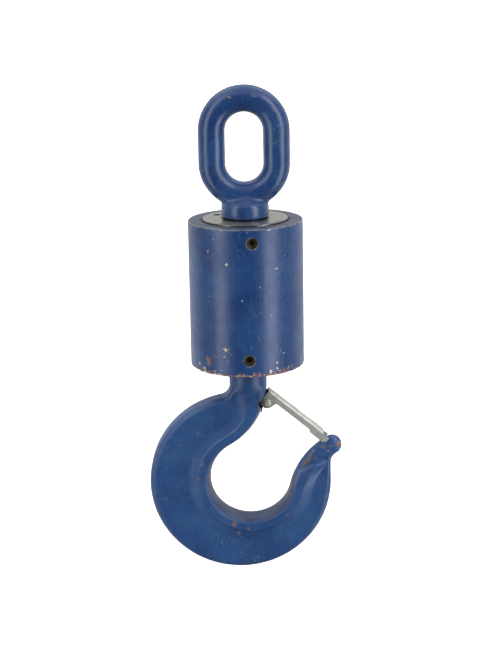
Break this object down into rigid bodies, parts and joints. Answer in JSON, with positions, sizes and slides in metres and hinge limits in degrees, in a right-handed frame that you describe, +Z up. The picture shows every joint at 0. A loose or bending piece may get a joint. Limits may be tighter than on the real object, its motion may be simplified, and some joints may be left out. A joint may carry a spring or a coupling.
{
  "type": "crane hook block",
  "caption": "Round steel hook weight with a swivelling oval lifting eye on top and a swivelling forged hook with a sprung safety latch below.",
  "frame": {"origin": "centre of the top arc of the lifting eye's opening, where the crane's hook or shackle bears", "axes": "+Z up along the swivel axis; +X towards the open side of the hook; +Y from the latch nut's side to its bolt head's side"},
  "size_m": [0.2067, 0.12, 0.5227],
  "materials": {
    "blue_paint": "semi-gloss blue enamel, worn to bare steel and rust along edges",
    "machined_steel": "bare turned steel, lightly oiled",
    "dark_steel": "black-oxide steel with grease",
    "zinc_plate": "zinc-plated sheet steel",
    "spring_steel": "black oiled spring wire",
    "bronze": "turned bearing bronze",
    "seal_rubber": "black nitrile rubber",
    "bearing_steel": "ground and polished bearing steel",
    "cage_brass": "machined brass"
  },
  "bodies": {
    "eye": {"lifting_eye": "blue_paint", "eye_shaft_washer": "bearing_steel", "eye_nut": "dark_steel", "eye_nut_pin": "dark_steel"},
    "eye_ball_cage": {"eye_bearing_balls": "bearing_steel", "eye_bearing_cage": "cage_brass"},
    "weight": {"weight_body": "blue_paint", "top_gland_ring": "machined_steel", "bottom_gland_ring": "machined_steel", "upper_lock_screw": "dark_steel", "lower_lock_screw": "dark_steel", "eye_bush": "bronze", "eye_seal": "seal_rubber", "eye_housing_washer": "bearing_steel", "hook_bush": "bronze", "hook_seal": "seal_rubber", "hook_housing_washer": "bearing_steel"},
    "hook_ball_cage": {"hook_bearing_balls": "bearing_steel", "hook_bearing_cage": "cage_brass"},
    "hook": {"hook": "blue_paint", "hook_shaft_washer": "bearing_steel", "hook_nut": "dark_steel", "hook_nut_pin": "dark_steel", "latch_bolt": "zinc_plate", "latch_nut": "zinc_plate", "latch_spring": "spring_steel"},
    "latch": {"latch": "zinc_plate"}
  },
  "joints": [
    {"name": "weight_swivel", "type": "hinge", "parent": "eye", "child": "weight", "pos_m": [0, 0, -0.092], "axis": [0, 0, 1], "continuous": true},
    {"name": "eye_cage_spin", "type": "hinge", "parent": "eye", "child": "eye_ball_cage", "pos_m": [0, 0, -0.124], "axis": [0, 0, 1], "continuous": true},
    {"name": "hook_swivel", "type": "hinge", "parent": "weight", "child": "hook", "pos_m": [0, 0, -0.247], "axis": [0, 0, 1], "continuous": true},
    {"name": "hook_cage_spin", "type": "hinge", "parent": "weight", "child": "hook_ball_cage", "pos_m": [0, 0, -0.2155], "axis": [0, 0, 1], "continuous": true},
    {"name": "latch_hinge", "type": "hinge", "parent": "hook", "child": "latch", "pos_m": [0.02, 0, -0.2896], "axis": [0, 1, 0], "range_deg": [0, 60], "stiffness_Nm_per_rad": 0.15, "springref_deg": -57.3, "deforming": ["latch_spring"]}
  ],
  "couplings": [
    {"joint": "eye_cage_spin", "follows": "weight_swivel", "ratio": 0.5},
    {"joint": "hook_cage_spin", "follows": "hook_swivel", "ratio": 0.5}
  ]
}
